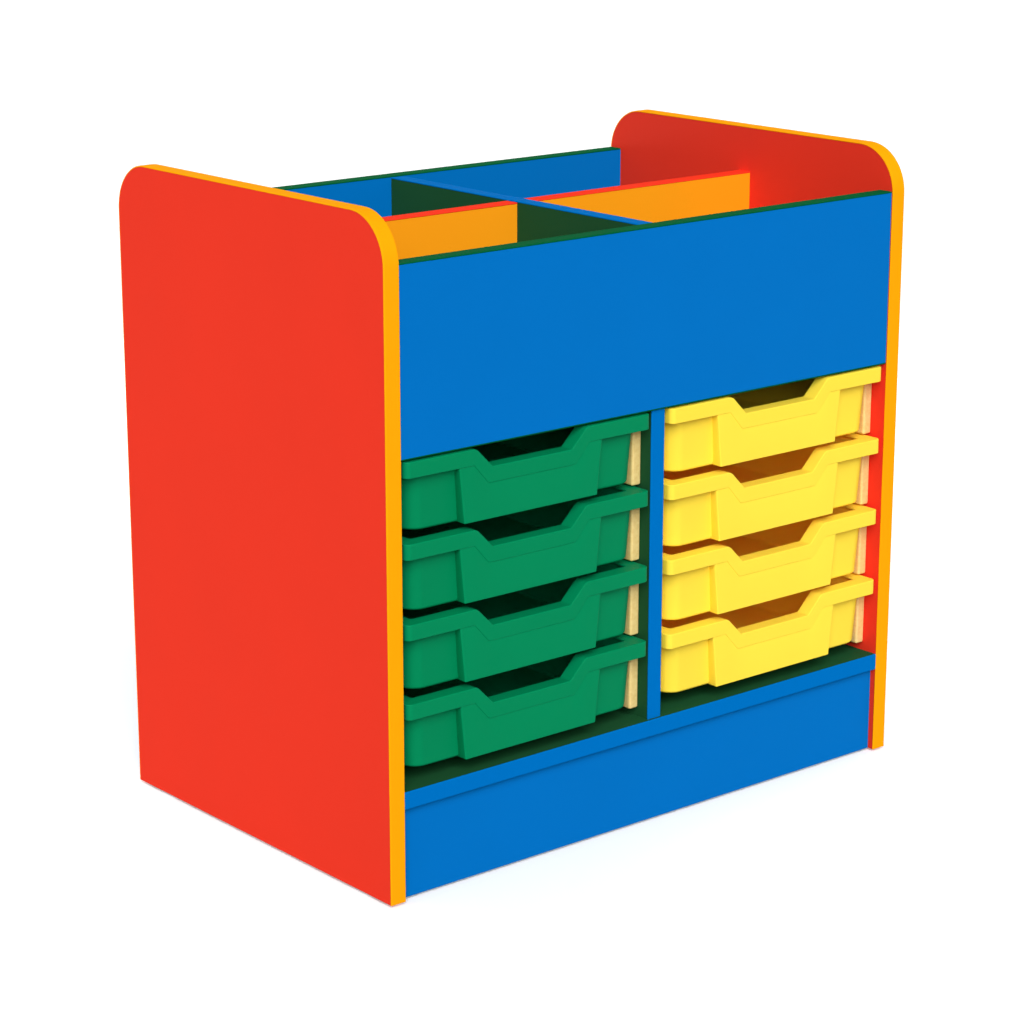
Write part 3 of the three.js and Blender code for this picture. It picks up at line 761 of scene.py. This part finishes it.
class TRAYUNIT_OT_stage(bpy.types.Operator):
    """White studio floor, soft light and the camera"""

    bl_idname = "tray_unit.stage"
    bl_label = "Stage"

    def execute(self, context):
        scene = context.scene
        stage = scene.tray_unit_stage
        scene.view_settings.view_transform = "Standard"
        # The trays are deep and nearly closed, so their insides need light that has gone round many times
        scene.cycles.max_bounces = LIGHT_BOUNCES
        scene.cycles.diffuse_bounces = LIGHT_BOUNCES
        self.add_floor(scene, stage)
        self.add_sky(scene, stage)
        self.add_lamps(scene, stage)
        self.add_softboxes(scene, stage)
        self.add_camera(scene, stage)
        return {"FINISHED"}

    @staticmethod
    def seen_directly(tree):
        """1 for camera, glossy and transmission rays, and 0 for the rays that carry light."""
        path = node(tree, "ShaderNodeLightPath", {}, {})
        mirror = node(tree, "ShaderNodeMath", {"operation": "MAXIMUM"},
                      {0: path.outputs["Is Glossy Ray"], 1: path.outputs["Is Transmission Ray"]})
        seen = node(tree, "ShaderNodeMath", {"operation": "MAXIMUM"},
                    {0: path.outputs["Is Camera Ray"], 1: mirror.outputs["Value"]})
        return seen.outputs["Value"]

    def add_floor(self, scene, stage):
        """Wide flat floor; the camera sees it whitened, so that only the object's shadow shows on it."""
        mesh = bpy.data.meshes.new("studio_floor")
        corners = np.array([[-1, -1, 0], [1, -1, 0], [1, 1, 0], [-1, 1, 0]]) * FLOOR_REACH
        mesh.from_pydata(corners.tolist(), [], [[0, 1, 2, 3]])
        material = new_material("studio_floor")
        tree = material.node_tree
        seen = self.seen_directly(tree)
        colours = scene.tray_unit_colours
        base = node(tree, "ShaderNodeMix", {"data_type": "RGBA"}, {
            MIX_FACTOR: seen,
            MIX_FIRST: colours.floor_bounce,
            MIX_SECOND: colours.floor})
        glow = node(tree, "ShaderNodeMath", {"operation": "MULTIPLY"}, {0: seen, 1: stage.floor_glow})
        surface = node(tree, "ShaderNodeBsdfPrincipled", {}, {
            "Base Color": base.outputs[MIX_RESULT], "Roughness": 0.9, "Specular IOR Level": 0.0,
            "Emission Color": WHITE, "Emission Strength": glow.outputs["Value"]})
        node(tree, "ShaderNodeOutputMaterial", {}, {"Surface": surface.outputs["BSDF"]})
        mesh.materials.append(material)
        floor = bpy.data.objects.new("studio_floor", mesh)
        scene.collection.objects.link(floor)

    def add_sky(self, scene, stage):
        """Even white light all round, which the camera sees as plain white."""
        scene.world = bpy.data.worlds.new("studio_light")
        scene.world.use_nodes = True
        tree = scene.world.node_tree
        tree.nodes.clear()
        light = node(tree, "ShaderNodeBackground", {}, {"Color": WHITE, "Strength": stage.sky_strength})
        white = node(tree, "ShaderNodeBackground", {}, {"Color": WHITE, "Strength": 1.0})
        seen = self.seen_directly(tree)
        mix = node(tree, "ShaderNodeMixShader", {},
                   {0: seen, 1: light.outputs["Background"], 2: white.outputs["Background"]})
        node(tree, "ShaderNodeOutputWorld", {}, {"Surface": mix.outputs["Shader"]})

    @staticmethod
    def add_lamps(scene, stage):
        """Two broad soft lights: a key in front and to the left, and a weaker fill behind."""
        for name in ("key", "fill"):
            lamp = bpy.data.lights.new(name, "SUN")
            lamp.energy = getattr(stage, name + "_strength")
            lamp.angle = getattr(stage, name + "_softness")
            source = bpy.data.objects.new(name, lamp)
            tilt = np.pi / 2 - getattr(stage, name + "_elevation")
            source.rotation_euler = Euler((tilt, 0, getattr(stage, name + "_azimuth")))
            scene.collection.objects.link(source)

    @staticmethod
    def add_softboxes(scene, stage):
        """Square lights at the sides and back, so low that the boards keep them out of the browser."""
        for name, azimuth in (("left", -np.pi / 2), ("right", np.pi / 2), ("rear", np.pi)):
            lamp = bpy.data.lights.new(name + "_softbox", "AREA")
            lamp.energy = getattr(stage, name + "_power")
            lamp.size = stage.softbox_size
            source = bpy.data.objects.new(name + "_softbox", lamp)
            away = np.sin(azimuth) * X - np.cos(azimuth) * Y
            source.location = stage.softbox_distance * away + stage.softbox_height * Z
            source.rotation_euler = Euler((np.pi / 2, 0, azimuth))
            source.visible_camera = False
            scene.collection.objects.link(source)

    @staticmethod
    def add_camera(scene, stage):
        """Camera that sees the near left corner a little from above."""
        data = bpy.data.cameras.new("camera")
        data.lens = stage.camera_lens
        data.sensor_width = SENSOR_WIDTH
        camera = bpy.data.objects.new("camera", data)
        camera.location = stage.camera_place
        camera.rotation_euler = Euler((np.pi / 2 - stage.camera_elevation, 0, stage.camera_azimuth))
        scene.collection.objects.link(camera)
        scene.camera = camera


OPERATORS = (
    TRAYUNIT_OT_side_panels,
    TRAYUNIT_OT_boards,
    TRAYUNIT_OT_runners,
    TRAYUNIT_OT_glides,
    TRAYUNIT_OT_trays,
    TRAYUNIT_OT_stage,
)

SETTINGS = {
    "tray_unit_cabinet": CabinetSizes,
    "tray_unit_trays": TraySizes,
    "tray_unit_colours": FinishColours,
    "tray_unit_stage": StageSettings,
}


class TRAYUNIT_PT_sidebar(bpy.types.Panel):
    """Settings of the unit and the steps that build it"""

    bl_label = "Tray unit"
    bl_idname = "TRAYUNIT_PT_sidebar"
    bl_space_type = "VIEW_3D"
    bl_region_type = "UI"
    bl_category = "Tray unit"

    def draw(self, context):
        for setting, group in SETTINGS.items():
            box = self.layout.box()
            box.label(text=group.__doc__.rstrip("."))
            for name in group.__annotations__:
                box.prop(getattr(context.scene, setting), name)
        for operator in OPERATORS:
            self.layout.operator(operator.bl_idname)


def register():
    """Registers the settings, the operators and the panel."""
    for setting, group in SETTINGS.items():
        bpy.utils.register_class(group)
        setattr(bpy.types.Scene, setting, PointerProperty(type=group))
    for operator in OPERATORS:
        bpy.utils.register_class(operator)
    bpy.utils.register_class(TRAYUNIT_PT_sidebar)


def unregister():
    """Takes away what register added."""
    bpy.utils.unregister_class(TRAYUNIT_PT_sidebar)
    for operator in reversed(OPERATORS):
        bpy.utils.unregister_class(operator)
    for setting, group in reversed(SETTINGS.items()):
        delattr(bpy.types.Scene, setting)
        bpy.utils.unregister_class(group)


def main():
    """Builds every piece and the stage."""
    register()
    bpy.ops.tray_unit.side_panels()
    bpy.ops.tray_unit.boards()
    bpy.ops.tray_unit.runners()
    bpy.ops.tray_unit.glides()
    bpy.ops.tray_unit.trays()
    bpy.ops.tray_unit.stage()


if __name__ == "__main__":
    main()
